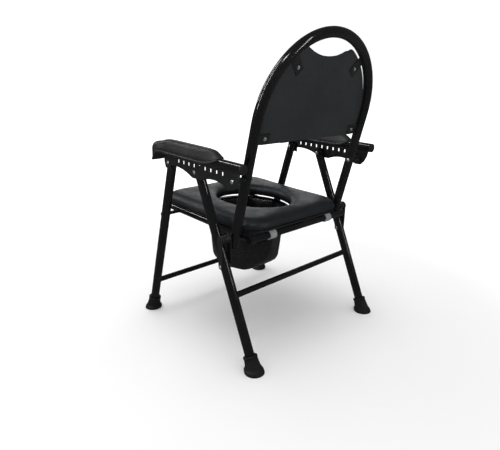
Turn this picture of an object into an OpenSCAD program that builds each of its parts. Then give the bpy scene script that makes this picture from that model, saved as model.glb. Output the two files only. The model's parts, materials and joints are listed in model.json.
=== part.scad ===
// Folding commode chair: a steel tube chair whose seat, armrests and back
// fold against the front legs, with a padded seat over a removable pail.
// +X is the sitter's left, the sitter faces -Y, +Z is up, the feet stand on Z = 0.

/* [Frame tube] */
// Outer diameter of the leg, armrest and back tubes
tube_d = 25; // [22:0.5:26]
// Wall thickness of the steel tubes
tube_wall = 1.5; // [1:0.1:2]
// Outer diameter of the lower crossbars
brace_d = 16; // [14:0.5:18]

/* [Legs] */
// Distance between the centrelines of the left and right legs
leg_spacing = 473; // [472:0.5:476]
// Backward lean of the front legs, in degrees
front_lean = 17.7; // [17.4:0.1:18]
// Forward lean of the rear legs, in degrees
rear_lean = 22.87; // [22.6:0.01:23.1]
// Height of the front crossbar
front_brace_z = 104.8; // [98:0.2:106]
// Height of the rear crossbar
rear_brace_z = 182.8; // [170:0.2:190]
// Radius of a rubber foot where it stands on the floor
foot_r = 26; // [24:0.5:28]

/* [Back] */
// Distance between the centrelines of the two sides of the back hoop
hoop_spacing = 407; // [406:0.5:408]
// Backward lean of the back hoop, in degrees
hoop_lean = 15; // [14.8:0.1:15.2]
// Straight length of the hoop above its lower pivot
hoop_straight = 294; // [280:1:310]
// Height of the back board's lower edge above the lower pivot
board_low = 240; // [225:1:250]

/* [Seat] */
// Depth of the seat cushion
cushion_depth = 404; // [390:1:410]
// Width of the cushion at the front
cushion_front_w = 380; // [376:1:400]
// Width of the cushion between the sides of the back hoop
cushion_rear_w = 374; // [360:1:375]
// Width of the oval opening
hole_w = 200; // [180:1:210]
// Length of the oval opening, front to rear
hole_l = 244; // [220:1:250]

/* [Pail] */
// Corner radius of the pail just under its rim
pail_top_r = 118; // [110:0.5:119]
// Outer radius of the pail's rim
pail_rim_r = 136; // [134:0.5:138]
// Wall thickness of the pail
pail_wall = 2.5; // [2:0.1:3]

/* [Hidden] */
$fn = 64;

// Running clearance on a radius, and the smallest gap between moving pieces
fit_gap = 0.05;
side_gap = 0.3;

tube_r = tube_d / 2;
brace_r = brace_d / 2;
brace_wall = 1.2;
leg_x = leg_spacing / 2;
hoop_x = hoop_spacing / 2;
pin_r = 4;
head_r = 5;
head_h = 1.8;

// Where the leg axes meet the floor
front_foot_y = -244.2;
rear_foot_y = 234;
leg_start = 10;
leg_over = 12;

function front_y(z) = front_foot_y + z * tan(front_lean);
function rear_y(z) = rear_foot_y - z * tan(rear_lean);

// The four pivots of the fold: armrest and seat on the front legs, then both on the hoop.
// The armrest and the seat have the same run, so the four make a parallelogram.
arm_pivot_z = 492;
seat_pivot_z = 337;
link_run = 261.9;
link_drop = 12;
arm_pivot = [0, front_y(arm_pivot_z), arm_pivot_z];
seat_pivot = [0, front_y(seat_pivot_z), seat_pivot_z];
hoop_pivot = seat_pivot + [0, link_run, -link_drop];
tilt = atan2(link_drop, link_run);
seat_len = norm([link_run, link_drop]);

// Rear leg pivots: at the armrest, and at the prop link
rear_pivot_z = 482;
rear_pivot = [0, rear_y(rear_pivot_z), rear_pivot_z];
prop_z = 256;
prop_pivot = [0, rear_y(prop_z), prop_z];

// The armrest rivet to the hoop, in the hoop's own frame
arm_to_hoop = [arm_pivot[1] - seat_pivot[1], arm_pivot_z - seat_pivot_z];
hoop_rivet_s = arm_to_hoop[0] * sin(hoop_lean) + arm_to_hoop[1] * cos(hoop_lean);
hoop_rivet_n = arm_to_hoop[0] * cos(hoop_lean) - arm_to_hoop[1] * sin(hoop_lean);
hoop_n = hoop_rivet_n / 2;
hoop_tail = 28;

// Armrest
arm_x = 250.8;
plate_t = 2;
plate_in = leg_x + tube_r + 0.6;
plate_out = plate_in + plate_t;
arm_tube_z = 34.3;
arm_tube_front = -38;
arm_tube_rear = 297;
slot_pitch = 22.2;
slot_w = 5.4;
slot_h = 8.6;

// Seat
rail_x = 180;
rail_r = 9.5;
rail_front = -64;
rear_tube_y = 302;
rear_tube_z = -2;
rear_tube_half = 190;
board_z = 11;
board_t = 7;
pad_t = 24;
bumper_h = 1.2;
cushion_rear = 306;
cushion_front = cushion_rear - cushion_depth;
hole_y = 113;
clip_x = 113;
clip_w = 22;

// Pail and its rails
pail_y = 85;
rim_top = -3.7;
rim_t = 4;
pail_rod_r = 4;
pail_rod_x = 128;
pail_rod_z = rim_top - rim_t - side_gap - pail_rod_r;
pail_rod_front = -50;
pail_rod_rear = 240;
pail_depth = 174;
pail_taper = 12;
pail_swing_r = 234;

// Prop link plates, inside and outside the rear leg
link_in = leg_x - tube_r - 0.8;
link_out = leg_x + tube_r + 0.8;
link_t = 2.5;
link_eye_r = 9;
link_foot_r = 6.5;

// ---------- helpers ----------

module both() {
    children();
    mirror([1, 0, 0]) children();
}

module on_side(left) {
    if (left) children();
    else mirror([1, 0, 0]) children();
}

// Frames that lie along the legs, the seat, the armrest and the hoop
module in_front_leg() { translate([0, front_foot_y, 0]) rotate([-front_lean, 0, 0]) children(); }
module in_rear_leg() { translate([0, rear_foot_y, 0]) rotate([rear_lean, 0, 0]) children(); }
module in_seat() { translate(seat_pivot) rotate([-tilt, 0, 0]) children(); }
module in_arm() { translate(arm_pivot) rotate([-tilt, 0, 0]) children(); }
module in_back() { translate(hoop_pivot) rotate([-hoop_lean, 0, 0]) children(); }

// A round bar along X
module x_bar(x0, x1, r) { translate([x0, 0, 0]) rotate([0, 90, 0]) cylinder(h = x1 - x0, r = r); }

// A round bar along Y
module y_bar(y0, y1, r) { translate([0, y0, 0]) rotate([-90, 0, 0]) cylinder(h = y1 - y0, r = r); }

// A domed rivet head on the X axis, growing from x towards +X or -X
module x_head(x, grow, r, h) {
    translate([x, 0, 0]) rotate([0, 90 * grow, 0]) union() {
        cylinder(h = h * 0.4, r = r);
        translate([0, 0, h * 0.4]) cylinder(h = h * 0.6, r1 = r, r2 = r * 0.55);
    }
}

module x_rivet(x_in, x_out, r) {
    x_bar(x_in, x_out, r);
    x_head(x_out, 1, head_r, head_h);
    x_head(x_in, -1, head_r, head_h);
}

// Points of an arc, for outlines
function arc(cx, cy, r, a0, a1, n = 10) =
    [for (i = [0:n]) [cx + r * cos(a0 + (a1 - a0) * i / n), cy + r * sin(a0 + (a1 - a0) * i / n)]];

// ---------- front frame ----------

arm_pivot_s = arm_pivot_z / cos(front_lean);
seat_pivot_s = seat_pivot_z / cos(front_lean);

module front_leg(left) {
    color("black") on_side(left) in_front_leg() translate([leg_x, 0, 0]) difference() {
        translate([0, 0, leg_start]) cylinder(h = arm_pivot_s + leg_over - leg_start, r = tube_r);
        translate([0, 0, leg_start - 1]) cylinder(h = arm_pivot_s + leg_over, r = tube_r - tube_wall);
        translate([0, 0, arm_pivot_s]) x_bar(-tube_d, tube_d, pin_r + fit_gap);
        translate([0, 0, seat_pivot_s]) x_bar(-tube_d, tube_d, seat_bolt_r + fit_gap);
    }
}

module crossbar(s) {
    translate([0, 0, s]) difference() {
        x_bar(-leg_x, leg_x, brace_r);
        x_bar(-leg_x, leg_x, brace_r - brace_wall);
        both() translate([leg_x, 0, -tube_d]) cylinder(h = 2 * tube_d, r = tube_r);
    }
}

module front_crossbar() { color("black") in_front_leg() crossbar(front_brace_z / cos(front_lean)); }

foot_base_h = 7;
foot_neck_s = 36;
foot_top_s = 60;
foot_neck_r = 17.5;
foot_lip = 1.2;

// A flat sole, a flared neck along the leg, and a collar that the tube pushes into
module foot(x, y, lean) {
    translate([x, y, 0]) difference() {
        union() {
            cylinder(h = foot_base_h, r = foot_r);
            rotate([lean, 0, 0]) {
                translate([0, 0, -10]) cylinder(h = foot_neck_s + 10, r1 = foot_r - 1, r2 = foot_neck_r);
                translate([0, 0, foot_neck_s]) cylinder(h = foot_top_s - foot_neck_s, r = foot_neck_r);
                translate([0, 0, foot_top_s - 5]) cylinder(h = 5, r = foot_neck_r + foot_lip);
            }
        }
        translate([0, 0, -50]) cylinder(h = 50, r = 2 * foot_r);
        rotate([lean, 0, 0]) translate([0, 0, leg_start]) cylinder(h = foot_top_s, r = tube_r);
    }
}

module front_foot(left) { color("dimgray") on_side(left) foot(leg_x, front_foot_y, -front_lean); }
module rear_foot(left) { color("dimgray") on_side(left) foot(leg_x, rear_foot_y, rear_lean); }

// ---------- rear frame ----------

rear_pivot_s = rear_pivot_z / cos(rear_lean);
prop_s = prop_z / cos(rear_lean);

module rear_leg(left) {
    color("black") on_side(left) in_rear_leg() translate([leg_x, 0, 0]) difference() {
        translate([0, 0, leg_start]) cylinder(h = rear_pivot_s + leg_over - leg_start, r = tube_r);
        translate([0, 0, leg_start - 1]) cylinder(h = rear_pivot_s + leg_over, r = tube_r - tube_wall);
        translate([0, 0, rear_pivot_s]) x_bar(-tube_d, tube_d, pin_r + fit_gap);
        translate([0, 0, prop_s]) x_bar(-tube_d, tube_d, pin_r);
    }
}

module rear_crossbar() { color("black") in_rear_leg() crossbar(rear_brace_z / cos(rear_lean)); }

module link_rivets() {
    color("silver") both() translate(prop_pivot)
        x_rivet(link_in - link_t - side_gap, link_out + link_t + side_gap, pin_r);
}

// ---------- armrests ----------

module arm_tube(left) {
    color("black") on_side(left) in_arm() translate([arm_x, 0, arm_tube_z]) difference() {
        y_bar(arm_tube_front, arm_tube_rear, tube_r);
        y_bar(arm_tube_front - 1, arm_tube_rear + 1, tube_r - tube_wall);
    }
}

// A pressed plate with three lobes for the rivets and two arches between them
module bracket_outline() {
    difference() {
        polygon([[-16, 24], [-17, 2], [-12, -13], [0, -18], [14, -20], [256, -20], [267, -19.5],
            [278, -8], [286, 8], [289, 24]]);
        intersection() {
            translate([35, -169]) circle(r = 166, $fn = 180);
            translate([13, -60]) square([120, 70]);
        }
        translate([197, -126]) circle(r = 117, $fn = 160);
        for (i = [0:9]) translate([28.5 + slot_pitch * i, 12.5]) square([slot_w, slot_h], center = true);
    }
}

module arm_bracket(left) {
    color("black") on_side(left) in_arm() difference() {
        translate([plate_in, 0, 0]) rotate([90, 0, 90]) linear_extrude(plate_t) bracket_outline();
        translate([arm_x, 0, arm_tube_z]) y_bar(-60, 320, tube_r);
        for (p = arm_pins) translate(p) x_bar(plate_in - 1, plate_out + 1, pin_r);
    }
}

// The rivets' places in the armrest's frame: front leg, rear leg, hoop
rear_pin = [0, (rear_pivot[1] - arm_pivot[1]) * cos(tilt) - (rear_pivot[2] - arm_pivot[2]) * sin(tilt),
    (rear_pivot[1] - arm_pivot[1]) * sin(tilt) + (rear_pivot[2] - arm_pivot[2]) * cos(tilt)];
arm_pins = [[0, 0, 0], rear_pin, [0, seat_len, 0]];
leg_pin_in = leg_x - tube_r - side_gap;
hoop_pin_in = hoop_x - tube_r - side_gap;

module arm_rivets(left) {
    color("silver") on_side(left) in_arm() {
        for (i = [0, 1]) translate(arm_pins[i]) x_rivet(leg_pin_in, plate_out, pin_r);
        translate(arm_pins[2]) x_rivet(hoop_pin_in, plate_out, pin_r);
    }
}

module arm_spacer(left) {
    color("black") on_side(left) in_arm() translate(arm_pins[2]) difference() {
        x_bar(hoop_x + tube_r + side_gap, plate_in, 7);
        x_bar(hoop_x, plate_out, pin_r);
    }
}

module arm_cap(left) {
    color("black") on_side(left) in_arm() translate([arm_x, 0, arm_tube_z]) {
        y_bar(arm_tube_rear, arm_tube_rear + 3, tube_r);
        y_bar(arm_tube_rear - 12, arm_tube_rear, tube_r - tube_wall);
    }
}

pad_half_w = 23;
pad_low = 27;
pad_high = 63;
pad_front = -50;
pad_rear = 206;

// Moulded pad: crowned on top, grooved over the tube, its front end hooked down over the tube's end
module arm_pad(left) {
    color("#202020") on_side(left) in_arm() difference() {
        union() {
            translate([arm_x, pad_rear, 0]) rotate([90, 0, 0]) linear_extrude(pad_rear - pad_front)
                polygon([[-pad_half_w, pad_low], [pad_half_w, pad_low], [pad_half_w, pad_high - 16],
                    [pad_half_w - 8, pad_high - 3], [pad_half_w - 15, pad_high], [15 - pad_half_w, pad_high],
                    [8 - pad_half_w, pad_high - 3], [-pad_half_w, pad_high - 16]]);
            translate([arm_x - pad_half_w + 3, 0, 0]) rotate([90, 0, 90])
                linear_extrude(2 * pad_half_w - 6)
                polygon([[pad_front, pad_low], [pad_front, 4], [pad_front + 5, 2],
                    [arm_tube_front - 1, pad_low]]);
        }
        translate([arm_x, 0, arm_tube_z]) y_bar(arm_tube_front, pad_rear + 1, tube_r);
    }
}

// ---------- back ----------

hoop_centre = [0, hoop_n, hoop_straight];

module hoop_solid(r) {
    both() translate([hoop_x, hoop_n, -hoop_tail]) cylinder(h = hoop_straight + hoop_tail, r = r);
    translate(hoop_centre) rotate([90, 0, 0]) rotate_extrude(angle = 180) translate([hoop_x, 0]) circle(r = r);
}

module back_hoop() {
    color("black") in_back() difference() {
        hoop_solid(tube_r);
        hoop_solid(tube_r - tube_wall);
        both() {
            x_bar(hoop_x - tube_d, hoop_x + tube_d, pin_r + fit_gap);
            translate([0, hoop_rivet_n, hoop_rivet_s]) x_bar(hoop_x - tube_d, hoop_x + tube_d, pin_r + fit_gap);
        }
    }
}

module back_hoop_plugs() {
    color("#202020") in_back() both() translate([hoop_x, hoop_n, -hoop_tail]) {
        cylinder(h = 10, r = tube_r - tube_wall);
        translate([0, 0, -1]) cylinder(h = 1, r = tube_r);
        translate([0, 0, -4]) cylinder(h = 3, r1 = tube_r - 4, r2 = tube_r);
    }
}

board_t_back = 10;
tab_t = 2;
board_r = hoop_x - tube_r - 4.5;
scoop_r = 182.5;
scoop_low = 442;

// Outline inside the hoop, with the scooped hand opening at the top; inset makes it smaller all round
module back_outline(inset) {
    difference() {
        union() {
            translate([0, hoop_straight]) circle(r = board_r - inset, $fn = 128);
            translate([inset - board_r, board_low + inset])
                square([2 * (board_r - inset), hoop_straight - board_low - inset]);
        }
        translate([0, scoop_low + scoop_r - inset]) circle(r = scoop_r, $fn = 128);
        translate([-hoop_x, board_low + inset - hoop_x]) square([2 * hoop_x, hoop_x]);
    }
}

// Extrudes an outline drawn in X and Z towards -Y, from y down to y - t
module plate_y(y, t) { translate([0, y, 0]) rotate([90, 0, 0]) linear_extrude(t) children(); }

low_screw = [168, 255];
top_screw_a = 49;
top_screw_r = 162;
top_screw = [top_screw_r * cos(top_screw_a), hoop_straight + top_screw_r * sin(top_screw_a)];

module at_back_screws() {
    both() for (p = [low_screw, top_screw]) translate([p[0], hoop_n, p[1]]) rotate([-90, 0, 0]) children();
}

screw_r = 2;

module back_board() {
    color("#2a2c2e") in_back() difference() {
        plate_y(hoop_n - tab_t, board_t_back) back_outline(0);
        at_back_screws() translate([0, 0, -11]) cylinder(h = 12, r = screw_r);
    }
}

module back_pad() {
    color("#303438") in_back() plate_y(hoop_n - tab_t - board_t_back, 18) back_outline(6);
}

module back_tabs() {
    color("#1c1c1c") in_back() difference() {
        plate_y(hoop_n, tab_t) both() {
            translate([low_screw[0] - 16, low_screw[1] - 12]) square([hoop_x - low_screw[0] + 16, 24]);
            translate([0, hoop_straight]) rotate(top_screw_a) translate([top_screw_r - 14, -12])
                square([hoop_x - top_screw_r + 14, 24]);
        }
        hoop_solid(tube_r);
        at_back_screws() translate([0, 0, -11]) cylinder(h = 12, r = screw_r);
    }
}

module back_screws() {
    color("silver") in_back() at_back_screws() {
        cylinder(h = 1, r = 4.5);
        translate([0, 0, 1]) cylinder(h = 1.4, r1 = 4.5, r2 = 2.6);
        translate([0, 0, -10]) cylinder(h = 10, r = screw_r);
    }
}

// ---------- seat frame ----------

seat_bolt_r = 5;

module rear_tube_bore(r) { translate([0, rear_tube_y, rear_tube_z]) x_bar(-rail_x * 1.2, rail_x * 1.2, r); }

module seat_rail(left) {
    color("black") on_side(left) in_seat() difference() {
        translate([rail_x, 0, 0]) y_bar(rail_front, rear_tube_y, rail_r);
        translate([rail_x, 0, 0]) y_bar(rail_front - 1, rear_tube_y + 1, rail_r - tube_wall);
        rear_tube_bore(rail_r);
        x_bar(rail_x - 20, rail_x + 20, seat_bolt_r);
        translate([0, seat_len, 0]) x_bar(rail_x - 20, rail_x + 20, pin_r);
    }
}

module seat_rear_tube() {
    color("black") in_seat() translate([0, rear_tube_y, rear_tube_z]) difference() {
        x_bar(-rear_tube_half, rear_tube_half, rail_r);
        x_bar(2 - rear_tube_half, rear_tube_half - 2, rail_r - tube_wall);
    }
}

module seat_front_strap() {
    color("black") in_seat() difference() {
        translate([-rail_x, rail_front + 4, 6]) cube([2 * rail_x, 25, 3.5]);
        both() translate([rail_x, 0, 0]) y_bar(rail_front - 1, 0, rail_r);
    }
}

module seat_rail_plugs() {
    color("#202020") in_seat() both() translate([rail_x, 0, 0]) {
        y_bar(rail_front - 3, rail_front, rail_r);
        y_bar(rail_front, rail_front + 10, rail_r - tube_wall);
    }
}

module seat_front_bolts() {
    color("silver") in_seat() both() {
        x_bar(rail_x - rail_r - 1, leg_x + tube_r + side_gap, seat_bolt_r);
        x_head(leg_x + tube_r + side_gap, 1, 6.5, 1.8);
        x_head(rail_x - rail_r - 0.2, -1, 8, 3);
    }
}

module seat_back_pins() {
    color("silver") in_seat() translate([0, seat_len, 0]) both() {
        x_bar(rail_x - rail_r - 0.2, hoop_x + tube_r + 0.2, pin_r);
        x_bar(hoop_x + tube_r + 0.2, hoop_x + tube_r + 2, 7);
        x_head(rail_x - rail_r - 0.2, -1, head_r, head_h);
    }
}

module pail_rail(left) {
    color("black") on_side(left) in_seat() translate([pail_rod_x, 0, pail_rod_z])
        y_bar(pail_rod_front, pail_rod_rear, pail_rod_r);
}

// Short rods that carry the pail rails from the seat rails
module pail_rail_hangers() {
    color("black") in_seat() both() difference() {
        for (y = [pail_rod_front + 10, pail_rod_rear - 10])
            translate([0, y, pail_rod_z]) x_bar(pail_rod_x, rail_x, pail_rod_r);
        translate([pail_rod_x, 0, pail_rod_z]) y_bar(pail_rod_front - 1, pail_rod_rear + 1, pail_rod_r);
        translate([rail_x, 0, 0]) y_bar(rail_front, rear_tube_y, rail_r);
    }
}

// ---------- seat cushion ----------

front_corner = 55;
rear_corner = 58;
waist_y = 112;

// Half outline of the cushion, wide at the front and narrow between the hoop's sides
function half_seat(inset) =
    let (wf = cushion_front_w / 2 - inset, wr = cushion_rear_w / 2 - inset)
    concat(
        arc(wf - front_corner, cushion_front + inset + front_corner, front_corner, -90, 0),
        [[wf, 30], [(wf + wr) / 2, 72], [wr, waist_y]],
        arc(wr - rear_corner, cushion_rear - inset - rear_corner, rear_corner, 0, 90));

module seat_outline(inset) {
    difference() {
        both() polygon(concat([[-1, cushion_front + inset]], half_seat(inset), [[-1, cushion_rear - inset]]));
        translate([0, hole_y]) polygon([for (a = [0:6:354])
            [(hole_w / 2 + inset) * cos(a), (hole_l / 2 + inset) * sin(a)]]);
    }
}

module seat_board() {
    color("#303030") in_seat() difference() {
        translate([0, 0, board_z]) linear_extrude(board_t) seat_outline(5);
        at_clip_screws() translate([0, 0, board_z - 1]) cylinder(h = 6, r = screw_r);
    }
}

module seat_pad() {
    color("#39424a") in_seat() translate([0, 0, board_z + board_t]) linear_extrude(pad_t) seat_outline(2);
}

module seat_bumpers() {
    color("#202020") in_seat() both() for (y = [-20, 225])
        translate([rail_x, y, board_z - bumper_h]) cylinder(h = bumper_h, r = 7);
}

module at_clip_screws() { both() translate([clip_x, 270, 0]) children(); }

module seat_clips() {
    color("lightgray") in_seat() both() difference() {
        union() {
            translate([clip_x - clip_w / 2, rear_tube_y, rear_tube_z]) x_bar(0, clip_w, rail_r + 2.8);
            translate([clip_x - clip_w / 2, 0, 0]) rotate([90, 0, 90]) linear_extrude(clip_w)
                polygon([[262, 7.2], [262, board_z], [290, board_z], [302, 10], [302, 0], [291, 0], [288, 7.2]]);
        }
        translate([clip_x - clip_w, rear_tube_y, rear_tube_z]) x_bar(0, 2 * clip_w, rail_r + fit_gap);
        at_clip_screws() cylinder(h = board_z + 1, r = screw_r);
    }
}

module seat_clip_screws() {
    color("silver") in_seat() at_clip_screws() {
        translate([0, 0, 5.2]) cylinder(h = 2, r1 = 2.5, r2 = 4);
        translate([0, 0, 7.2]) cylinder(h = board_z + 5 - 7.2, r = screw_r);
    }
}

// ---------- pail ----------

function pail_r(depth) = pail_top_r - (depth - 8) * pail_taper / 142;

// The pail's eight-sided body, shrunk by t, down to the given depth below the seat line.
// Its rear edge is trimmed to the arc that clears the front crossbar as the seat folds.
module pail_body(t, depth) {
    low = depth - 20;
    intersection() {
        translate([0, pail_y, -low]) union() {
            cylinder(h = low + rim_top, r1 = pail_r(150) - t, r2 = pail_top_r - t, $fn = 8);
            translate([0, 0, -10]) cylinder(h = 10, r1 = pail_r(150) - t - 8, r2 = pail_r(150) - t, $fn = 8);
            translate([0, 0, -20]) cylinder(h = 10, r1 = pail_r(150) - t - 18, r2 = pail_r(150) - t - 8, $fn = 8);
        }
        x_bar(-pail_rim_r, pail_rim_r, pail_swing_r - t, $fn = 180);
    }
}

// Half-moon finger grip on one flat of the pail
module pail_grip(a) {
    rotate(a) translate([pail_r(80) * cos(22.5) - 1, 0, -80]) intersection() {
        cylinder(h = 4, r = 27);
        translate([0, -30, 0]) cube([15, 60, 10]);
    }
}

module pail() {
    color("#1a1a1a") in_seat() difference() {
        union() {
            pail_body(0, pail_depth);
            translate([0, pail_y, rim_top - rim_t]) cylinder(h = rim_t, r = pail_rim_r, $fn = 96);
            translate([0, pail_y, 0]) pail_grip(67.5);
            translate([0, pail_y, 0]) pail_grip(247.5);
        }
        translate([0, 0, 0.01]) pail_body(pail_wall, pail_depth - pail_wall);
    }
}

// ---------- prop links ----------

module link_hull(r_low, r_eye) {
    hull() {
        translate(prop_pivot) x_bar(0, link_t, r_low);
        translate(hoop_pivot) x_bar(0, link_t, r_eye);
    }
}

module link_plates(left) {
    color("#242424") on_side(left) difference() {
        union() {
            translate([link_in - link_t, 0, 0]) link_hull(link_foot_r, link_eye_r);
            translate([link_out, 0, 0]) link_hull(link_foot_r, link_eye_r);
        }
        translate(prop_pivot) x_bar(link_in - 9, link_out + 9, pin_r + fit_gap);
        translate(hoop_pivot) x_bar(link_in - 9, link_out + 9, pin_r);
    }
}

module link_spool(left) {
    color("#202020") on_side(left) translate(hoop_pivot) difference() {
        union() {
            x_bar(link_in, link_out, 10);
            x_bar(link_in, link_in + 4, 12.2);
            x_bar(link_out - 4, link_out, 12.2);
        }
        x_bar(link_in - 1, link_out + 1, pin_r);
    }
}

module link_pin(left) {
    color("silver") on_side(left) translate(hoop_pivot) {
        x_bar(link_in - link_t, link_out + link_t, pin_r);
        x_head(link_out + link_t, 1, head_r, head_h);
        x_bar(link_in - link_t - 1.5, link_in - link_t, head_r);
    }
}

// ---------- nodes ----------

front_leg(true);  // front_leg_left
front_leg(false);  // front_leg_right
front_crossbar();
front_foot(true);  // front_foot_left
front_foot(false);  // front_foot_right
rear_leg(true);  // rear_leg_left
rear_leg(false);  // rear_leg_right
rear_crossbar();
rear_foot(true);  // rear_foot_left
rear_foot(false);  // rear_foot_right
link_rivets();
arm_tube(true);  // arm_tube_left
arm_tube(false);  // arm_tube_right
arm_bracket(true);  // arm_bracket_left
arm_bracket(false);  // arm_bracket_right
arm_pad(true);  // arm_pad_left
arm_pad(false);  // arm_pad_right
arm_rivets(true);  // arm_rivets_left
arm_rivets(false);  // arm_rivets_right
arm_spacer(true);  // arm_spacer_left
arm_spacer(false);  // arm_spacer_right
arm_cap(true);  // arm_cap_left
arm_cap(false);  // arm_cap_right
back_hoop();
back_hoop_plugs();
back_board();
back_pad();
back_tabs();
back_screws();
seat_rail(true);  // seat_rail_left
seat_rail(false);  // seat_rail_right
seat_rear_tube();
seat_front_strap();
seat_rail_plugs();
seat_front_bolts();
seat_back_pins();
pail_rail(true);  // pail_rail_left
pail_rail(false);  // pail_rail_right
pail_rail_hangers();
seat_board();
seat_pad();
seat_bumpers();
seat_clips();
seat_clip_screws();
pail();
link_plates(true);  // link_plates_left
link_plates(false);  // link_plates_right
link_spool(true);  // link_spool_left
link_spool(false);  // link_spool_right
link_pin(true);  // link_pin_left
link_pin(false);  // link_pin_right
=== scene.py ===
"""Folding commode chair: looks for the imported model. Metres, the CAD's own frame."""
import json
from math import asin, atan2, cos, hypot, pi, radians, sin, sqrt

import bmesh
import bpy
from mathutils import Matrix, Vector, noise


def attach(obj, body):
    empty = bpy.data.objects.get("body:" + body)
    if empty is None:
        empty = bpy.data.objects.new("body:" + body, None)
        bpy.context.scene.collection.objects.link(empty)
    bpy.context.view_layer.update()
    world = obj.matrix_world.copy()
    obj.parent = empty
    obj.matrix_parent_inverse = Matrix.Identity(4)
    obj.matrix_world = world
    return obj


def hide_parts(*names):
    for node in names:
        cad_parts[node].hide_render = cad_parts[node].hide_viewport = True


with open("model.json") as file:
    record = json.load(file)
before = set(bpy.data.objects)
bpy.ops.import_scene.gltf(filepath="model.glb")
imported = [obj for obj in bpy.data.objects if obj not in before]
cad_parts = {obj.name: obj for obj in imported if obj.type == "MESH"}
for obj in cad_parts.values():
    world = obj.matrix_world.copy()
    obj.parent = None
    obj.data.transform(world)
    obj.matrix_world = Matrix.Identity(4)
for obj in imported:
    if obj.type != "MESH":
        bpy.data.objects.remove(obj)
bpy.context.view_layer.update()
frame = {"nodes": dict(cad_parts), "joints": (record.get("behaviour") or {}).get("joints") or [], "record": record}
NODES = frame["nodes"]
JOINTS = {joint["name"]: joint for joint in frame["joints"]}

MM = 0.001
HOOP_LEAN = radians(15)  # the hoop leans back by this much


# ---------- frames and measures taken from the CAD ----------

def pivot(joint):
    return Vector(JOINTS[joint]["pos_m"])


slide_axis = Vector(JOINTS["pail_slide"]["axis"])
TILT = atan2(-slide_axis.z, slide_axis.y)


def leaning(origin, angle):
    """Matrix from a local frame, turned about X, to the row frame."""
    at = Matrix.Translation((0, origin.y, origin.z))
    return at @ Matrix.Rotation(-angle, 4, "X")


SEAT = leaning(pivot("fold"), TILT)
ARM = leaning(pivot("armrest_left_turn"), TILT)
BACK = leaning(pivot("back_turn"), HOOP_LEAN)


def local_box(node, matrix):
    """Lowest and highest corner of a CAD node in a leaning frame."""
    back = matrix.inverted()
    points = [back @ v.co for v in NODES[node].data.vertices]
    low = Vector([min(p[i] for p in points) for i in range(3)])
    high = Vector([max(p[i] for p in points) for i in range(3)])
    return low, high


# ---------- materials ----------

class Nodes:
    """A material's node tree with short calls for what the finishes below share."""

    def __init__(self, name, color, roughness, metallic=0.0, **sockets):
        self.material = bpy.data.materials.new(name)
        self.material.use_nodes = True
        self.tree = self.material.node_tree
        self.shader = self.tree.nodes["Principled BSDF"]
        self.shader.inputs["Base Color"].default_value = (*color, 1)
        self.shader.inputs["Roughness"].default_value = roughness
        self.shader.inputs["Metallic"].default_value = metallic
        for key, value in sockets.items():
            self.shader.inputs[key.replace("_", " ")].default_value = value
        self.place = self.add("ShaderNodeTexCoord").outputs["Object"]
        self.normal = None

    def add(self, kind, **values):
        node = self.tree.nodes.new(kind)
        for key, value in values.items():
            setattr(node, key, value)
        return node

    def link(self, a, b):
        self.tree.links.new(a, b)

    def noise(self, scale, detail=3.0, rough=0.5):
        node = self.add("ShaderNodeTexNoise")
        node.inputs["Scale"].default_value = scale
        node.inputs["Detail"].default_value = detail
        node.inputs["Roughness"].default_value = rough
        self.link(self.place, node.inputs["Vector"])
        return node.outputs["Fac"]

    def cells(self, scale, feature="DISTANCE_TO_EDGE"):
        node = self.add("ShaderNodeTexVoronoi", feature=feature)
        node.inputs["Scale"].default_value = scale
        self.link(self.place, node.inputs["Vector"])
        return node.outputs["Distance"]

    def span(self, value, low, high, to_low, to_high):
        node = self.add("ShaderNodeMapRange", clamp=True)
        for key, number in (("From Min", low), ("From Max", high),
                            ("To Min", to_low), ("To Max", to_high)):
            node.inputs[key].default_value = number
        self.link(value, node.inputs["Value"])
        return node.outputs["Result"]

    def mix(self, factor, color_a, color_b):
        node = self.add("ShaderNodeMix", data_type="RGBA")
        node.inputs["A"].default_value = (*color_a, 1)
        node.inputs["B"].default_value = (*color_b, 1)
        self.link(factor, node.inputs["Factor"])
        return node.outputs["Result"]

    def color(self, factor, color_a, color_b):
        self.link(self.mix(factor, color_a, color_b), self.shader.inputs["Base Color"])

    def roughness(self, factor, low, high):
        self.link(self.span(factor, 0.3, 0.7, low, high), self.shader.inputs["Roughness"])

    def bump(self, height, strength, distance):
        node = self.add("ShaderNodeBump")
        node.inputs["Strength"].default_value = strength
        node.inputs["Distance"].default_value = distance
        self.link(height, node.inputs["Height"])
        if self.normal:
            self.link(self.normal, node.inputs["Normal"])
        self.normal = node.outputs["Normal"]
        self.link(self.normal, self.shader.inputs["Normal"])


def gloss_paint():
    m = Nodes("gloss_black_paint", (0.006, 0.006, 0.0065), 0.2, Coat_Weight=0.35, Coat_Roughness=0.06)
    m.roughness(m.noise(60, 4), 0.09, 0.17)
    m.color(m.span(m.noise(9, 5), 0.42, 0.7, 0, 1), (0.005, 0.005, 0.0055), (0.009, 0.009, 0.0095))
    m.bump(m.noise(320, 2), 0.12, 0.25 * MM)
    return m.material


def satin_paint():
    m = Nodes("satin_black_paint", (0.011, 0.0115, 0.012), 0.38)
    m.roughness(m.noise(90, 4), 0.32, 0.46)
    m.bump(m.noise(700, 3), 0.18, 0.2 * MM)
    return m.material


def bright_steel():
    m = Nodes("bright_zinc_steel", (0.62, 0.62, 0.60), 0.3, metallic=0.88)
    m.roughness(m.noise(400, 5), 0.22, 0.42)
    m.color(m.span(m.noise(150, 4), 0.35, 0.7, 0, 1), (0.78, 0.78, 0.76), (0.52, 0.52, 0.50))
    m.bump(m.noise(900, 2), 0.15, 0.1 * MM)
    return m.material


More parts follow.
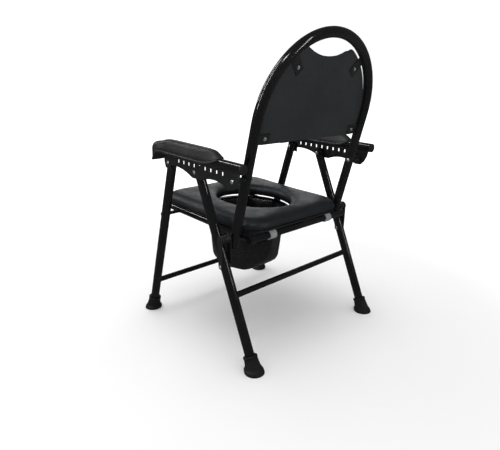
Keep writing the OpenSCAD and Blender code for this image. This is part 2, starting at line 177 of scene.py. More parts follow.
def foot_rubber():
    m = Nodes("foot_rubber", (0.006, 0.006, 0.0064), 0.5)
    m.roughness(m.noise(120, 5), 0.52, 0.78)
    m.color(m.span(m.noise(45, 5), 0.45, 0.75, 0, 1), (0.005, 0.005, 0.0054), (0.010, 0.010, 0.0106))
    m.bump(m.noise(800, 4), 0.35, 0.25 * MM)
    return m.material


def grained_vinyl():
    """Slate upholstery vinyl with a fine leather grain and softly polished high spots."""
    m = Nodes("slate_vinyl", (0.010, 0.013, 0.015), 0.4, Specular_IOR_Level=0.38)
    broad = m.noise(12, 4, 0.55)
    m.color(m.span(broad, 0.35, 0.7, 0, 1), (0.0072, 0.0096, 0.0118), (0.0138, 0.0172, 0.0195))
    m.roughness(m.noise(36, 5), 0.33, 0.5)
    m.bump(m.span(m.cells(620), 0.0, 0.25, 0, 1), 0.3, 0.2 * MM)
    m.bump(m.noise(1500, 3), 0.12, 0.12 * MM)
    m.bump(broad, 0.16, 1.2 * MM)
    return m.material


def armrest_skin():
    """Moulded foam with a tight skin: satin, with a shallow pebble grain."""
    m = Nodes("armrest_skin", (0.011, 0.0112, 0.012), 0.44)
    m.roughness(m.noise(55, 5), 0.36, 0.54)
    m.color(m.span(m.noise(22, 4), 0.4, 0.72, 0, 1), (0.009, 0.009, 0.010), (0.016, 0.016, 0.017))
    m.bump(m.cells(900, "F1"), 0.2, 0.2 * MM)
    m.bump(m.noise(60, 3), 0.12, 0.6 * MM)
    return m.material


def back_plastic():
    """Flat charcoal board with a very fine spark-eroded texture."""
    m = Nodes("charcoal_board", (0.018, 0.020, 0.0215), 0.5)
    m.roughness(m.noise(30, 5), 0.44, 0.6)
    m.color(m.span(m.noise(6, 5), 0.35, 0.7, 0, 1), (0.016, 0.0178, 0.019), (0.0215, 0.0235, 0.025))
    m.bump(m.noise(1100, 2), 0.25, 0.15 * MM)
    return m.material


def board_plastic():
    m = Nodes("black_board", (0.012, 0.012, 0.013), 0.5)
    m.roughness(m.noise(50, 5), 0.42, 0.6)
    m.bump(m.noise(900, 3), 0.2, 0.2 * MM)
    return m.material


def pail_plastic():
    m = Nodes("pail_plastic", (0.0085, 0.0088, 0.0095), 0.26)
    m.roughness(m.noise(35, 5), 0.2, 0.32)
    m.color(m.span(m.noise(12, 4), 0.4, 0.7, 0, 1), (0.0075, 0.0078, 0.0085), (0.012, 0.0122, 0.013))
    m.bump(m.noise(260, 3), 0.06, 0.3 * MM)
    return m.material


def clip_plastic():
    m = Nodes("grey_clip_plastic", (0.36, 0.365, 0.37), 0.48)
    m.roughness(m.noise(80, 4), 0.4, 0.58)
    m.color(m.span(m.noise(60, 5), 0.4, 0.75, 0, 1), (0.26, 0.265, 0.27), (0.18, 0.185, 0.19))
    m.bump(m.noise(700, 3), 0.15, 0.2 * MM)
    return m.material


def black_plastic():
    m = Nodes("black_plastic", (0.010, 0.010, 0.0105), 0.4)
    m.roughness(m.noise(90, 4), 0.34, 0.5)
    m.bump(m.noise(900, 3), 0.18, 0.2 * MM)
    return m.material


FINISH = {
    "frame_paint": gloss_paint(),
    "bracket_paint": satin_paint(),
    "bright_steel": bright_steel(),
    "foot_rubber": foot_rubber(),
    "pad_foam": armrest_skin(),
    "vinyl": grained_vinyl(),
    "back_panel": back_plastic(),
    "board": board_plastic(),
    "pail_plastic": pail_plastic(),
    "clip_plastic": clip_plastic(),
    "black_plastic": black_plastic(),
}
NODE_SLOT = {row["node"]: row["material_slot"] for row in frame["record"]["subparts"]}
BODIES = frame["record"]["behaviour"]["bodies"]
NODE_BODY = {node: body for body, names in BODIES.items() for node in names}


# ---------- mesh helpers ----------

def new_object(name, mesh):
    obj = bpy.data.objects.new(name, mesh)
    bpy.context.collection.objects.link(obj)
    return obj


def smooth(obj, angle=None):
    """Smooth shading; edges sharper than the angle stay sharp."""
    for polygon in obj.data.polygons:
        polygon.use_smooth = True
    if angle is not None:
        obj.data.set_sharp_from_angle(angle=radians(angle))
    return obj


def finished(obj, node):
    """Gives a piece the finish and the body of a CAD node."""
    slot = NODE_SLOT[node]
    obj.data.materials.clear()
    obj.data.materials.append(FINISH[slot])
    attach(obj, NODE_BODY[node])
    return obj


def loft(name, rings, matrix=None, closed=False):
    """A skin over rings with equal numbers of points. Open ends get a cap, closed ones meet."""
    mesh = bpy.data.meshes.new(name)
    build = bmesh.new()
    place = matrix or Matrix.Identity(4)
    rows = [[build.verts.new(place @ Vector(p)) for p in ring] for ring in rings]
    count = len(rows[0])
    pairs = list(zip(rows, rows[1:]))
    if closed:
        pairs.append((rows[-1], rows[0]))
    for a, b in pairs:
        for i in range(count):
            j = (i + 1) % count
            build.faces.new((a[i], a[j], b[j], b[i]))
    ends = [] if closed else [rows[0], rows[-1]]
    for row in ends:
        middle = build.verts.new(sum((v.co for v in row), Vector()) / count)
        for i in range(count):
            build.faces.new((row[i], row[(i + 1) % count], middle))
    bmesh.ops.recalc_face_normals(build, faces=build.faces)
    build.to_mesh(mesh)
    build.free()
    return smooth(new_object(name, mesh), 50)


def with_modifier(obj, kind, **values):
    modifier = obj.modifiers.new(kind.lower(), kind)
    for key, value in values.items():
        setattr(modifier, key, value)
    return obj


def applied(obj):
    """Turns a piece's modifiers into its mesh."""
    bpy.context.view_layer.update()
    graph = bpy.context.evaluated_depsgraph_get()
    mesh = bpy.data.meshes.new_from_object(obj.evaluated_get(graph))
    obj.modifiers.clear()
    obj.data = mesh
    return obj


def refined(node, bevel):
    """A copy of a CAD node with its flat faces merged and its edges rounded, which stands for the node."""
    mesh = NODES[node].data.copy()
    build = bmesh.new()
    build.from_mesh(mesh)
    bmesh.ops.remove_doubles(build, verts=build.verts, dist=0.01 * MM)
    bmesh.ops.dissolve_limit(build, angle_limit=radians(0.6), verts=build.verts, edges=build.edges)
    bmesh.ops.recalc_face_normals(build, faces=build.faces)
    build.to_mesh(mesh)
    build.free()
    mesh.name = node + "_round"
    obj = new_object(mesh.name, mesh)
    with_modifier(obj, "BEVEL", width=bevel, segments=2, limit_method="ANGLE",
                  angle_limit=radians(35), use_clamp_overlap=True, miter_outer="MITER_ARC")
    applied(obj)
    smooth(obj, 40)
    finished(obj, node)
    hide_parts(node)
    return obj


def displaced(obj, move):
    """Moves each vertex along its normal by move(point), in the row frame."""
    normals = [vertex.normal.copy() for vertex in obj.data.vertices]
    for vertex, normal in zip(obj.data.vertices, normals):
        vertex.co += normal * move(vertex.co)
    return obj


# ---------- outlines ----------

def arc(cx, cy, r, start, end, count):
    """Points on an arc, with its ends in degrees."""
    return [(cx + r * cos(radians(start + (end - start) * i / count)),
             cy + r * sin(radians(start + (end - start) * i / count))) for i in range(count + 1)]


def polar_radius(outline, centre, angle):
    """Distance from centre to a closed outline in a direction: the furthest crossing."""
    dx, dy = cos(angle), sin(angle)
    best = 0.0
    for (x0, y0), (x1, y1) in zip(outline, outline[1:] + outline[:1]):
        ax, ay = x0 - centre[0], y0 - centre[1]
        bx, by = x1 - x0, y1 - y0
        cross = dx * by - dy * bx
        if abs(cross) < 1e-12:
            continue
        reach = (ax * by - ay * bx) / cross
        along = (ax * dy - ay * dx) / cross
        if reach > 0 and -1e-9 <= along <= 1 + 1e-9:
            best = max(best, reach)
    return best


def angles(count):
    """Evenly spaced directions, once round."""
    return [2 * pi * i / count for i in range(count)]


# ---------- seat ----------

pad_low, pad_high = local_box("seat_pad", SEAT)
board_low_z = local_box("seat_board", SEAT)[0].z
FRONT_HALF = 190 * MM
REAR_HALF = 187 * MM
FRONT_CORNER = 55 * MM
REAR_CORNER = 58 * MM
HOLE = Vector((0, 113 * MM))
HOLE_A = 100 * MM
HOLE_B = 122 * MM
SEAT_EDGE_IN = 2 * MM    # the CAD pad stands this far inside the cushion's outline
SEAT_BACK = SEAT.inverted()


def seat_outline():
    """The cushion's outline from above, its right side first."""
    front = pad_low.y - SEAT_EDGE_IN
    rear = pad_high.y + SEAT_EDGE_IN
    right = (arc(FRONT_HALF - FRONT_CORNER, front + FRONT_CORNER, FRONT_CORNER, -90, 0, 12)
             + [(FRONT_HALF, 30 * MM), ((FRONT_HALF + REAR_HALF) / 2, 72 * MM), (REAR_HALF, 112 * MM)]
             + arc(REAR_HALF - REAR_CORNER, rear - REAR_CORNER, REAR_CORNER, 0, 90, 14))
    return right + [(-x, y) for x, y in reversed(right)]


def smoothed(values, passes):
    """A closed row of numbers, each averaged with its neighbours."""
    count = len(values)
    for _ in range(passes):
        values = [(values[i - 1] + 2 * values[i] + values[(i + 1) % count]) / 4 for i in range(count)]
    return values


SEAT_ANGLES = angles(256)
SEAT_OUTER = smoothed([polar_radius(seat_outline(), HOLE, a) for a in SEAT_ANGLES], 6)
SEAT_INNER = [1 / hypot(cos(a) / HOLE_A, sin(a) / HOLE_B) for a in SEAT_ANGLES]


def seat_ring(inner_share, offset, z):
    """A ring between the hole (share 1) and the outer edge (share 0), moved outwards by offset."""
    ring = []
    for a, outer, inner in zip(SEAT_ANGLES, SEAT_OUTER, SEAT_INNER):
        r = (outer * (1 - inner_share) + inner * inner_share) + offset
        ring.append((HOLE.x + r * cos(a), HOLE.y + r * sin(a), z))
    return ring


# Offset outwards from the hole's edge, and height above the seat's pivot, up the wall of the hole
HOLE_PROFILE = [(10, 13.5), (4, 13.6), (1.2, 14.6), (-0.4, 18), (-1.2, 23), (-1.2, 28), (0.2, 32.4),
                (3.5, 36.4), (8.5, 39.4), (15, 41.6), (23, 43.0)]
# Share of the way in from the outer edge to the hole, and height, across the crown
CROWN = [(0.64, 43.8), (0.54, 43.6)]
# Offset inwards from the outer edge, and height, over the rolled edge and down to the board
EDGE_PROFILE = [(31, 42.4), (23, 40.6), (16, 38.2), (10, 34.8), (5.4, 30.6), (2.2, 25.8), (0.6, 21.2),
                (0.6, 17.4), (2.4, 14.8), (5.5, 13.8), (12, 13.6)]


def seat_wrinkle(point):
    """Soft uneven swelling, with short creases that gather at the rim of the hole and the corners."""
    local = SEAT_BACK @ point
    dx, dy = local.x - HOLE.x, local.y - HOLE.y
    angle = atan2(dy, dx)
    from_hole = hypot(dx / HOLE_A, dy / HOLE_B) - 1
    broad = noise.noise(point * 11) * 1.1 * MM
    folds = noise.noise(Vector((angle * 9, from_hole * 1.2, 3.7)))
    near_rim = max(0.0, 1 - abs(from_hole - 0.12) / 0.3)
    corner = max(0.0, abs(local.x) / REAR_HALF + abs(local.y - HOLE.y) / 0.2 - 1.35)
    creases = noise.noise(Vector((local.x * 55, local.y * 55, local.z * 22)))
    return broad + folds * near_rim * 0.7 * MM + creases * min(1.0, corner * 2.5) * 1.0 * MM


def seat_cushion():
    rings = [seat_ring(1, d * MM, z * MM) for d, z in HOLE_PROFILE]
    rings += [seat_ring(share, 0, z * MM) for share, z in CROWN]
    rings += [seat_ring(0, -d * MM, z * MM) for d, z in EDGE_PROFILE]
    obj = loft("seat_cushion_vinyl", rings, SEAT, closed=True)
    smooth(obj)
    with_modifier(obj, "SUBSURF", levels=1, render_levels=1)
    applied(obj)
    displaced(obj, seat_wrinkle)
    smooth(obj)
    finished(obj, "seat_pad")
    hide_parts("seat_pad")
    return obj


LIP_START = 288 * MM     # where the board's rear lip begins to turn down
LIP_RUN = 10 * MM        # how far back it reaches its full drop
LIP_DROP = 2.8 * MM

# Share of the way in to the hole, offset outwards and height above the board's underside, both in mm,
# and whether the ring follows the rear lip
BOARD_PROFILE = [
    (1, 4, 6, False), (1, 4, 1, False), (1, 5, 0, False), (0, -6, 0, False), (0, -3.5, 0, True),
    (0, -2.2, 0, True), (0, -1.2, 0.5, True), (0, -0.8, 1.2, False), (0, -1.4, 2, False),
    (0, -6, 2.4, False), (0, -6, 6, False)]


def rear_lip(ring):
    """Turns the board's lower edge down along its rear, just above the hinge tube."""
    return [(x, y, z - LIP_DROP * min(1.0, max(0.0, (y - LIP_START) / LIP_RUN))) for x, y, z in ring]


def seat_board():
    """The moulded board under the cushion: a recess, then a thin lip that shows below the vinyl."""
    rings = []
    for share, offset, up, lipped in BOARD_PROFILE:
        ring = seat_ring(share, offset * MM, board_low_z + up * MM)
        rings.append(rear_lip(ring) if lipped else ring)
    obj = loft("seat_board_moulded", rings, SEAT, closed=True)
    smooth(obj, 40)
    finished(obj, "seat_board")
    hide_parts("seat_board")
    return obj


seat_cushion()
seat_board()


# ---------- armrest pads ----------

arm_pad_low, arm_pad_high = local_box("arm_pad_left", ARM)
ARM_X = (arm_pad_low.x + arm_pad_high.x) / 2
PAD_LIP = 27.0          # height of the pad's lower edge along the armrest, mm

# Place along the armrest, lower edge, top, half width, and how far the side leans in, all in mm
PAD_STATIONS = [
    (-49.5, 6, 44, 16, 3), (-50, 3, 48, 19.5, 4), (-47, 1.5, 51, 21.5, 5), (-41, 4, 53.2, 22.5, 6),
    (-35, 12, 54.4, 23, 7), (-29, 20, 55.2, 23.2, 7.5), (-22, 25, 56.2, 23.3, 8), (-14, PAD_LIP, 58, 23.3, 8),
    (-5, PAD_LIP, 61, 23.3, 8.5), (4, PAD_LIP, 63.2, 23.3, 8.5), (16, PAD_LIP, 64.2, 23.3, 8.5),
    (50, PAD_LIP, 64.4, 23.3, 8.5), (90, PAD_LIP, 64.4, 23.3, 8.5), (130, PAD_LIP, 64.3, 23.3, 8.5),
    (165, PAD_LIP, 64.1, 23.2, 8.5), (178, 27.4, 63.9, 22.8, 8.5), (188, 28.6, 63.6, 21.6, 8.3),
    (197, 30.4, 62.8, 20.2, 8), (204, 32.6, 60.8, 18.6, 7.5), (211, 36, 57.2, 16.4, 6.5),
    (218, 40, 53, 13.4, 5), (223, 43, 49.6, 10.5, 3)]


def pad_section(y, low, top, half, lean):
    """Half of the section, from the middle of the underside round to the middle of the top."""
    lip = low + min(6.5, (top - low) * 0.3)
    shoulder = top - min(14, (top - low) * 0.4)
    side = half - lean
    right = [(0, low), (half * 0.55, low), (half - 2.2, low), (half - 0.5, low + 0.8), (half, low + 2.4),
             (half - 0.3, lip - 1.2), (half - 1.3, lip), (half - 2.0, lip + 1.0),
             (half - 1.8, lip + 2.4), (half - 2.4, (lip + shoulder) / 2),
             (side + 2.6, shoulder), (side + 0.2, shoulder + (top - shoulder) * 0.5),
             (side - 3.4, shoulder + (top - shoulder) * 0.84), (side * 0.45, top - 0.25)]
    points = right + [(0, top)] + [(-x, z) for x, z in reversed(right[1:])]
    return [(ARM_X + x * MM, y * MM, z * MM) for x, z in points]


def arm_pad(side):
    flip = Matrix.Scale(1 if side == "left" else -1, 4, (1, 0, 0))
    rings = [pad_section(*station) for station in PAD_STATIONS]
    obj = loft("arm_pad_skin_" + side, rings, flip @ ARM)
    smooth(obj)
    with_modifier(obj, "SUBSURF", levels=2, render_levels=2)
    applied(obj)
    displaced(obj, lambda p: noise.noise(p * 38) * 0.35 * MM)
    smooth(obj)
    node = "arm_pad_" + side
    finished(obj, node)
    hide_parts(node)
    return obj


for side in ("left", "right"):
    arm_pad(side)


# ---------- back ----------

board_box = local_box("back_board", BACK)
back_pad_box = local_box("back_pad", BACK)
HOOP_BEND = 294 * MM     # where the hoop's straight sides end, above the lower pivot
BACK_R = board_box[1].x
SCOOP_R = 182.5 * MM
SCOOP_LOW = 442 * MM
BACK_MIDDLE = (0.0, 345 * MM)
# Inset and depth from the rear face, in mm, over the board's rounded rear edge
BACK_EDGE = [(2.2, 0), (1, 0.25), (0.3, 1), (0, 2.2)]
# Inset and share of the pad's thickness, over its welt and up to the crown
WELT = [(0, 0.0), (-1.2, 0.12), (-2.0, 0.3), (-1.6, 0.5), (0.4, 0.7), (4, 0.86), (10, 0.96), (20, 1.04)]
WELT_INSET = 6           # mm, from the board's edge to the start of the welt
WELT_END_INSET = 26      # mm, from the board's edge to the end of the welt
CROWN_START = 1.04       # thickness share at the end of the welt
CROWN_RISE = 0.16        # further share at the middle


def back_outline(inset):
    """Outline of the board inside the hoop, with the scoop at the top; inset makes it smaller."""
    r = BACK_R - inset
    scoop = SCOOP_R + inset
    gap = SCOOP_LOW + SCOOP_R - HOOP_BEND
    rise = (r * r - scoop * scoop + gap * gap) / (2 * gap)
    across = sqrt(r * r - rise * rise)
    start = atan2(rise, across) * 180 / pi
    dip = asin(across / scoop) * 180 / pi
    low = board_box[0].z + inset
    corner = 7 * MM
    right = arc(r - corner, low + corner, corner, -90, 0, 6) + arc(0, HOOP_BEND, r, 0, start, 24)
    left = [(-x, z) for x, z in reversed(right)]
    return right + arc(0, HOOP_BEND + gap, scoop, dip - 90, -90 - dip, 20)[1:-1] + left


def back_ring(inset, y, share=1.0):
    """A ring in the board's outline, inset and then scaled towards its middle."""
    outline = back_outline(inset)
    return [(BACK_MIDDLE[0] + share * r * cos(a), y, BACK_MIDDLE[1] + share * r * sin(a))
            for a in angles(256) for r in [polar_radius(outline, BACK_MIDDLE, a)]]


def back_board():
    front, rear = board_box[0].y, board_box[1].y
    rings = [back_ring(0.4 * MM, rear, s) for s in (0.05, 0.35, 0.7, 0.93, 0.985)]
    rings += [back_ring(inset * MM, rear - depth * MM) for inset, depth in BACK_EDGE]
    rings += [back_ring(0, front + 1 * MM), back_ring(1 * MM, front)]
    rings += [back_ring(1 * MM, front, 0.5)]
    obj = loft("back_board_moulded", rings, BACK)
    smooth(obj, 40)
    finished(obj, "back_board")
    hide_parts("back_board")
    return obj


def back_pad():
    """Upholstered front of the back: a crowned pad with a welt around its edge."""
    front, rear = back_pad_box[0].y, back_pad_box[1].y
    depth = rear - front
    rings = [back_ring(12 * MM, rear)]
    rings += [back_ring((WELT_INSET + d) * MM, rear - depth * t) for d, t in WELT]
    for s in (0.9, 0.7, 0.45, 0.2, 0.05):
        crown = CROWN_START + CROWN_RISE * (1 - s * s)
        rings.append(back_ring(WELT_END_INSET * MM, rear - depth * crown, s))
    obj = loft("back_pad_vinyl", rings, BACK)
    smooth(obj)
    with_modifier(obj, "SUBSURF", levels=1, render_levels=1)
    applied(obj)
    displaced(obj, lambda p: noise.noise(p * 13) * 1.0 * MM + noise.noise(p * 45) * 0.25 * MM)
    smooth(obj)
    finished(obj, "back_pad")
    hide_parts("back_pad")
    return obj


back_board()
back_pad()


# ---------- pail ----------

pail_low, pail_high = local_box("pail", SEAT)
PAIL_Y = (pail_low.y + pail_high.y) / 2
RIM_R = (pail_high.x - pail_low.x) / 2
RIM_TOP = pail_high.z
PAIL_BOTTOM = pail_low.z
FLATS = 8
PAIL_TOP_R = 118 * MM
PAIL_LOW_R = 106 * MM
PAIL_WALL = 2.5 * MM
SWING_R = 234 * MM      # reach from the seat's pivot at which the pail clears the front crossbar
ROUNDNESS = 0.988       # how far a circle cuts the polygon's corners
RIM_DEEP = 4 * MM
BASE_UP = 20 * MM       # height above the base at which the wall turns in
POLE_R = 4 * MM         # smallest ring, at the middle of the floor
FLOOR_TOP = 17.2 * MM   # below the turn
FLOOR_UNDER = 19.2 * MM
WALL_STEPS = (0.25, 0.5, 0.75)
# Offset from the wall's lower radius and height from the turn, both in mm, and share of a circle
INNER_FOOT = [(0, 4, 0), (-3, -4, 0), (-10, -10.5, 0), (-20, -15.5, 0.1), (-40, -17.2, 0.5)]
OUTER_FOOT = [(-34, -19.2, 0.6), (-31, -21, 0.4), (-22, -21, 0.1), (-14, -19.6, 0), (-7, -14.5, 0),
              (-3.4, -8, 0), (-1.2, -1, 0), (0, 8, 0)]


def flat_radius(angle, corner_r):
    """Radius of a rounded regular polygon whose corners are at corner_r."""
    half = pi / FLATS
    off = (angle + 1e-9) % (2 * half) - half
    flat = corner_r * cos(half) / cos(off)
    soft = corner_r * ROUNDNESS
    k = 0.004 * corner_r
    return (flat + soft - hypot(flat - soft, k)) / 2


def pail_ring(corner_r, z, round_share=0.0, shrink=0.0):
    """A ring of the pail: eight flats, or part of the way to a circle, kept inside the swing radius."""
    ring = []
    for a in angles(256):
        r = flat_radius(a, corner_r) * (1 - round_share) + corner_r * round_share
        if sin(a) > 0.05:       # only the rear half comes near the crossbar
            reach = (sqrt((SWING_R - shrink) ** 2 - z * z) - PAIL_Y) / sin(a)
            gap = r - reach
            r -= (gap + hypot(gap, 3 * MM)) / 2
        ring.append((r * cos(a), PAIL_Y + r * sin(a), z))
    return ring


def pail():
    """One closed skin: rim, inner flats, floor, underside, rounded foot and outer flats."""
    under_rim = RIM_TOP - RIM_DEEP
    turn = PAIL_BOTTOM + BASE_UP
    inner_r = PAIL_TOP_R - PAIL_WALL
    low_inner = PAIL_LOW_R - PAIL_WALL
    rim = [(PAIL_TOP_R, under_rim - 0.2 * MM, 0), (PAIL_TOP_R + 3 * MM, under_rim, 0.5),
           (RIM_R - 1 * MM, under_rim - 1.5 * MM, 1), (RIM_R, under_rim + 0.5 * MM, 1),
           (RIM_R, under_rim + 2.5 * MM, 1), (RIM_R - 1.2 * MM, RIM_TOP, 1),
           (inner_r + 5 * MM, RIM_TOP, 0.7), (inner_r + 1 * MM, RIM_TOP - 1 * MM, 0.1),
           (inner_r, under_rim, 0)]
    rings = [pail_ring(r, z, share) for r, z, share in rim]
    rings += [pail_ring(inner_r + (low_inner - inner_r) * s, RIM_TOP + (turn - RIM_TOP) * s, 0, PAIL_WALL)
              for s in WALL_STEPS]
    rings += [pail_ring(low_inner + d * MM, turn + z * MM, s, PAIL_WALL) for d, z, s in INNER_FOOT]
    rings += [pail_ring(POLE_R, turn - FLOOR_TOP, 1), pail_ring(POLE_R, turn - FLOOR_UNDER, 1)]
    rings += [pail_ring(PAIL_LOW_R + d * MM, turn + z * MM, s) for d, z, s in OUTER_FOOT]
    rings += [pail_ring(PAIL_LOW_R + (PAIL_TOP_R - PAIL_LOW_R) * s, turn + (under_rim - turn) * s)
              for s in WALL_STEPS]
    obj = loft("pail_moulded", rings, SEAT, closed=True)
    smooth(obj, 60)
    finished(obj, "pail")
    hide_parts("pail")
    return obj


GRIP_DOWN = 76 * MM     # below the seat's pivot
LEAN_START = 8 * MM     # depth at which the pail's wall starts to lean in
WALL_LEAN = 12 / 142    # how far it leans in for each unit of depth
GRIP_SUNK = 1.5 * MM    # how far the grip's root stands inside the wall
GRIP_HALF = 27 * MM
GRIP_REACH = 15 * MM
GRIP_DROOP = 3.2        # mm, at the lip
GRIP_ROOT = -1 * MM     # how far behind its place the grip's straight back is
GRIP_STEPS = 32
# Share of the full size, and height in mm, from the underside up
GRIP_PROFILE = [(0.9, -1.6), (0.985, -1.2), (1, 0), (0.985, 1.2), (0.9, 1.7), (0.55, 1.9)]


def pail_grip(name, angle):
    """Half-moon finger grip: a rounded shelf that droops at its lip."""
    wall_r = (PAIL_TOP_R - (GRIP_DOWN - LEAN_START) * WALL_LEAN) * cos(pi / FLATS)
    turn = Matrix.Rotation(angle, 4, "Z")
    outwards = Matrix.Translation((wall_r - GRIP_SUNK, 0, 0))
    place = SEAT @ Matrix.Translation((0, PAIL_Y, -GRIP_DOWN)) @ turn @ outwards
    rings = []
    for grow, z in GRIP_PROFILE:
        ring = []
        for i in range(GRIP_STEPS + 1):
            a = pi * i / GRIP_STEPS - pi / 2
            x = max(0.0, cos(a)) * GRIP_REACH * grow
            droop = GRIP_DROOP * (x / GRIP_REACH) ** 2
            ring.append((x, sin(a) * GRIP_HALF * grow, (z - droop) * MM))
        ring += [(GRIP_ROOT, GRIP_HALF * grow * s, z * MM) for s in (0.9, 0.3, -0.3, -0.9)]
        rings.append(ring)
    obj = loft(name, rings, place)
    smooth(obj, 50)
    return finished(obj, "pail")


pail()
for index, angle in enumerate((67.5, 247.5)):
    pail_grip("pail_grip_%d" % (index + 1), radians(angle))


# ---------- feet ----------

# Height along the leg, radius, and how much the ring leans with the leg (0 flat, 1 square to the leg)
FOOT_PROFILE = [
    (0, 20, 0), (0, 24.6, 0), (0.8, 25.7, 0), (2.4, 26, 0), (4.2, 25.8, 0), (4.9, 24.9, 0), (5.6, 24.9, 0),
    (6.4, 25.6, 0), (8.4, 25.3, 0), (9.4, 24.2, 0.1), (10.4, 22.6, 0.2), (13, 21.4, 0.4), (18, 20.2, 0.7),
    (24, 19.0, 0.9), (30, 18.2, 1), (36, 17.8, 1), (38.2, 17.9, 1), (39.2, 18.6, 1), (41, 18.7, 1),
    (42.8, 18.7, 1), (43.8, 17.9, 1), (44, 16.4, 1), (43.6, 12.7, 1), (36, 12.45, 1)]
FOOT_RING = 72


def foot(node, lean):
    """A rubber foot: its sole is flat on the floor and its collar is square to the leaning leg."""
    sole = [v.co for v in NODES[node].data.vertices if v.co.z < 0.5 * MM]
    x = (min(p.x for p in sole) + max(p.x for p in sole)) / 2
    y = (min(p.y for p in sole) + max(p.y for p in sole)) / 2
    spin = Matrix.Rotation(lean, 4, "X")
    rings = []
    for s, r, follow in FOOT_PROFILE:
        centre = spin @ Vector((0, 0, s * MM))
        centre.z = centre.z * follow + s * MM * (1 - follow)     # low rings keep their full height
        turn = Matrix.Rotation(lean * follow, 4, "X")
        rings.append([Vector((x, y, 0)) + centre + turn @ Vector((r * MM * cos(a), r * MM * sin(a), 0))
                      for a in angles(FOOT_RING)])
    obj = loft(node + "_moulded", rings)
    smooth(obj, 45)
    finished(obj, node)
    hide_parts(node)
    return obj


LEG_LEAN = {"front": -radians(17.7), "rear": radians(22.87)}      # about X
for end, lean in LEG_LEAN.items():
    for side in ("left", "right"):
        foot("%s_foot_%s" % (end, side), lean)


# ---------- pieces with their edges rounded ----------

# Bevel width in mm
ROUNDED = {
    "arm_bracket_left": 0.7, "arm_bracket_right": 0.7, "link_plates_left": 0.7, "link_plates_right": 0.7,
    "seat_clips": 1.2, "back_tabs": 0.5, "seat_front_strap": 1.2, "arm_cap_left": 1.2,
    "arm_cap_right": 1.2, "link_spool_left": 0.8, "link_spool_right": 0.8, "back_hoop_plugs": 0.8,
    "seat_rail_plugs": 0.8, "seat_bumpers": 0.6}
for node, width in ROUNDED.items():
    refined(node, width * MM)

PAINTED = ("seat_front_bolts", "seat_back_pins")      # steel that is shown with the frame's paint
for node, obj in NODES.items():
    obj.data.materials.clear()
    obj.data.materials.append(FINISH["frame_paint" if node in PAINTED else NODE_SLOT[node]])
    smooth(obj, 40)


# ---------- room, light and camera ----------

WORLD_SEEN = 1.03        # what the camera sees behind the object
WORLD_LIT = 0.55         # what lights the matt surfaces
WORLD_MIRRORED = 0.07    # what glossy surfaces mirror, so black paint stays black
FLOOR_HALF = 14.0
GLOW_FROM, GLOW_TO = 0.75, 2.4      # distance over which the floor's glow grows
GLOW_NEAR, GLOW_FAR = 0.14, 1.0
CAMERA_PLACE = (0.9012, 0.9388, 0.6945)
CAMERA_DOWN = radians(17.53)
CAMERA_ROLL = radians(0.10)
CAMERA_HEADING = radians(137.26)
CAMERA_LENS = 32.44      # mm, on a sensor of 36 mm
CAMERA_SENSOR = 36


def branch(tree, ray, if_true, otherwise):
    """A number that depends on the kind of ray; otherwise may be a number or a socket."""
    node = tree.nodes.new("ShaderNodeMix")
    node.inputs["B"].default_value = if_true
    tree.links.new(ray, node.inputs["Factor"])
    if isinstance(otherwise, float):
        node.inputs["A"].default_value = otherwise
    else:
        tree.links.new(otherwise, node.inputs["A"])
    return node.outputs["Result"]


def floor():
    """White paper that glows more with distance, so that it has no horizon."""
    mesh = bpy.data.meshes.new("floor")
    corners = [(x * FLOOR_HALF, y * FLOOR_HALF, 0) for x, y in ((-1, -1), (1, -1), (1, 1), (-1, 1))]
    mesh.from_pydata(corners, [], [(0, 1, 2, 3)])
    obj = new_object("floor", mesh)
    paper = Nodes("white_paper", (0.9, 0.9, 0.9), 0.9)
    length = paper.add("ShaderNodeVectorMath", operation="LENGTH")
    paper.link(paper.place, length.inputs[0])
    glow = paper.span(length.outputs["Value"], GLOW_FROM, GLOW_TO, GLOW_NEAR, GLOW_FAR)
    paper.shader.inputs["Emission Color"].default_value = (1, 1, 1, 1)
    paper.link(glow, paper.shader.inputs["Emission Strength"])
    obj.data.materials.append(paper.material)
    obj.visible_glossy = False      # black tubes don't mirror the white floor


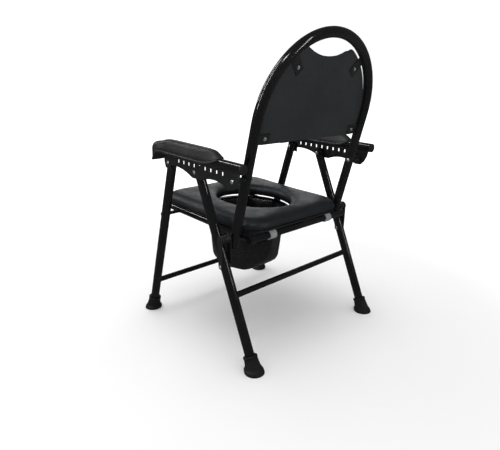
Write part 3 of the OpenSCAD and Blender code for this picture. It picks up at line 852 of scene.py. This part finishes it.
def studio():
    """A white world with its own strength for the camera, for mirroring and for matt light."""
    world = bpy.data.worlds.new("studio")
    bpy.context.scene.world = world
    world.use_nodes = True
    tree = world.node_tree
    background = tree.nodes["Background"]
    background.inputs["Color"].default_value = (1, 1, 1, 1)
    rays = tree.nodes.new("ShaderNodeLightPath").outputs
    level = branch(tree, rays["Is Glossy Ray"], WORLD_MIRRORED, WORLD_LIT)
    level = branch(tree, rays["Is Camera Ray"], WORLD_SEEN, level)
    tree.links.new(level, background.inputs["Strength"])


def area_light(name, place, target, size, power, size_y=None, mirrored=True, lights_matt=True):
    """A light that faces its target. The camera never sees it."""
    data = bpy.data.lights.new(name, "AREA")
    data.shape = "RECTANGLE"
    data.size = size
    data.size_y = size_y or size
    data.energy = power
    light = new_object(name, data)
    light.visible_glossy = mirrored
    light.visible_diffuse = lights_matt
    light.visible_camera = False
    light.location = place
    light.rotation_euler = (Vector(target) - Vector(place)).to_track_quat("-Z", "Y").to_euler()
    return light


def camera():
    data = bpy.data.cameras.new("camera")
    data.sensor_width = CAMERA_SENSOR
    data.lens = CAMERA_LENS
    obj = new_object("camera", data)
    obj.location = CAMERA_PLACE
    obj.rotation_euler = (pi / 2 - CAMERA_DOWN, CAMERA_ROLL, CAMERA_HEADING)
    bpy.context.scene.camera = obj


floor()
studio()
centre = (0, 0, 0.4)
area_light("overhead", (0.2, -0.2, 2.6), centre, 2.2, 40, mirrored=False)
area_light("strip_left", (2.2, -0.4, 1.9), (0, 0.2, 0.7), 0.1, 22, 2.4, lights_matt=False)
area_light("strip_right", (-0.8, 2.4, 1.6), (0, 0, 0.5), 0.12, 10, 1.6, lights_matt=False)
area_light("strip_top", (1.1, 1.0, 2.6), (0, 0.3, 0.7), 0.5, 8, 0.25, lights_matt=False)
area_light("strip_front", (0.8, -1.7, 2.1), (0.25, 0, 0.5), 0.1, 14, 2.2, lights_matt=False)
area_light("far_sheet", (-2.4, -2.6, 1.5), centre, 2.4, 11, 1.2, lights_matt=False)
camera()
scene = bpy.context.scene
scene.view_settings.view_transform = "Standard"
